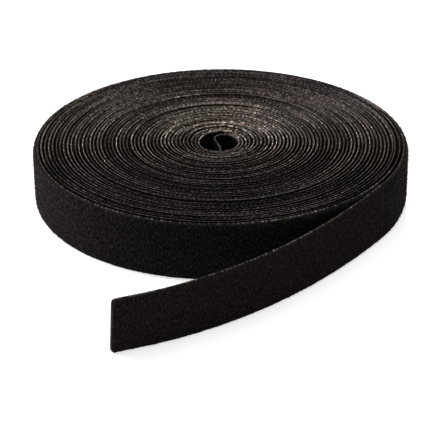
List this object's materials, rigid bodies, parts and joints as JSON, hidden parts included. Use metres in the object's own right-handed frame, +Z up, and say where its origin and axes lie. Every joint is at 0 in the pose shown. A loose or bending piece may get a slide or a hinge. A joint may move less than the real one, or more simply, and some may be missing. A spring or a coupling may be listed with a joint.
{
  "type": "hook and loop tape roll",
  "caption": "Roll of black double-sided hook and loop tape, wound on itself round an open eye, with a free tail that peels off the outside to be cut to length.",
  "frame": {"origin": "middle of the footprint of roll and tail, on the surface that the roll lies on", "axes": "+Z up along the axis of the roll, -Y towards the free end of the tail, +X to the right seen from the tail's side"},
  "size_m": [0.1292, 0.175, 0.02],
  "materials": {
    "woven_ground": "matte woven nylon",
    "loop_pile": "matte brushed loops",
    "hook_field": "satin nylon hooks"
  },
  "bodies": {
    "roll": {"start_fold": "woven_ground", "turns_inner": "woven_ground", "turns_outer": "woven_ground", "roll_loop_pile": "loop_pile"},
    "tail": {"tail_tape": "woven_ground", "tail_loop_pile": "loop_pile", "tail_hook_field": "hook_field"}
  },
  "joints": [
    {"name": "tail_peel", "type": "hinge", "parent": "roll", "child": "tail", "pos_m": [0.05212, -0.01214, 0], "axis": [0, 0, 1], "range_deg": [0, 80]}
  ]
}
